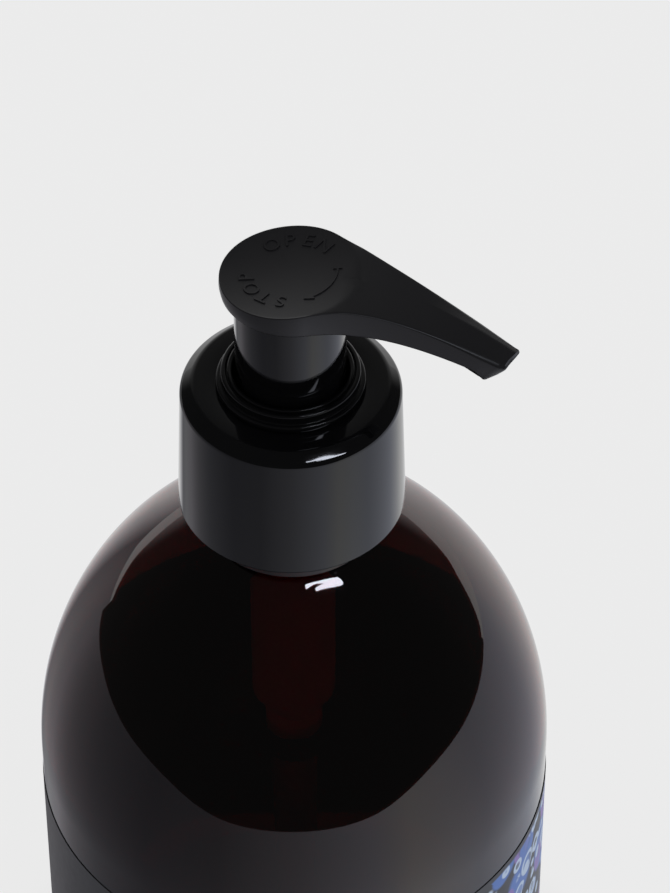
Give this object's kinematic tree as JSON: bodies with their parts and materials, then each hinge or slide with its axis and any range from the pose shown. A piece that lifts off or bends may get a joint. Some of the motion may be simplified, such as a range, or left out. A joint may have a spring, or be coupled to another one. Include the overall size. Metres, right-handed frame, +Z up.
{
  "type": "soap pump bottle",
  "caption": "Dark amber bottle for liquid hand soap with a domed shoulder, a wrap label, a smooth black screw closure and a pump head that turns between open and stop.",
  "frame": {"origin": "centre of the base, on the surface that the bottle stands on", "axes": "+Z up along the bottle's axis, the nozzle at rest points 17 degrees from +X towards -Y, and -Y is the side that the picture sees"},
  "size_m": [0.078, 0.078, 0.2014],
  "materials": {
    "amber_plastic": "clear dark amber, high gloss",
    "black_plastic": "polished moulded black",
    "satin_black_plastic": "satin moulded black",
    "natural_plastic": "milky uncoloured moulding",
    "soft_plastic": "soft sealing plastic",
    "spring_steel": "bright drawn wire",
    "label_film": "satin printed film",
    "liquid_soap": "clear viscous liquid"
  },
  "bodies": {
    "bottle": {"bottle": "amber_plastic", "label": "label_film", "liquid_soap": "liquid_soap"},
    "pump": {"pump_housing": "natural_plastic", "locking_ring": "black_plastic", "neck_gasket": "soft_plastic", "stem_guide": "natural_plastic", "dip_tube": "natural_plastic", "return_spring": "spring_steel"},
    "closure": {"closure": "black_plastic"},
    "plunger": {"stem_foot": "natural_plastic"},
    "head": {"pump_head": "satin_black_plastic", "stem": "natural_plastic"},
    "piston": {"piston": "soft_plastic"},
    "inlet_ball": {"inlet_ball": "spring_steel"}
  },
  "joints": [
    {"name": "pump_lift", "type": "slide", "parent": "bottle", "child": "pump", "axis": [0, 0, 1], "range_m": [0, 0.0053]},
    {"name": "closure_turn", "type": "hinge", "parent": "pump", "child": "closure", "pos_m": [0, 0, 0.1684], "axis": [0, 0, 1], "range_deg": [0, 450]},
    {"name": "head_press", "type": "slide", "parent": "pump", "child": "plunger", "axis": [0, 0, 1], "range_m": [-0.0125, 0], "stiffness_N_per_m": 600, "springref_m": 0.0005, "deforming": ["return_spring"]},
    {"name": "head_turn", "type": "hinge", "parent": "plunger", "child": "head", "pos_m": [0, 0, 0.19], "axis": [0, 0, 1], "range_deg": [-90, 0]},
    {"name": "piston_slip", "type": "slide", "parent": "plunger", "child": "piston", "axis": [0, 0, 1], "range_m": [0, 0.001]},
    {"name": "inlet_ball_lift", "type": "slide", "parent": "pump", "child": "inlet_ball", "axis": [0, 0, 1], "range_m": [0, 0.0012]}
  ],
  "couplings": [
    {"joint": "pump_lift", "follows": "closure_turn", "m_per_rad": 0.0006737}
  ]
}
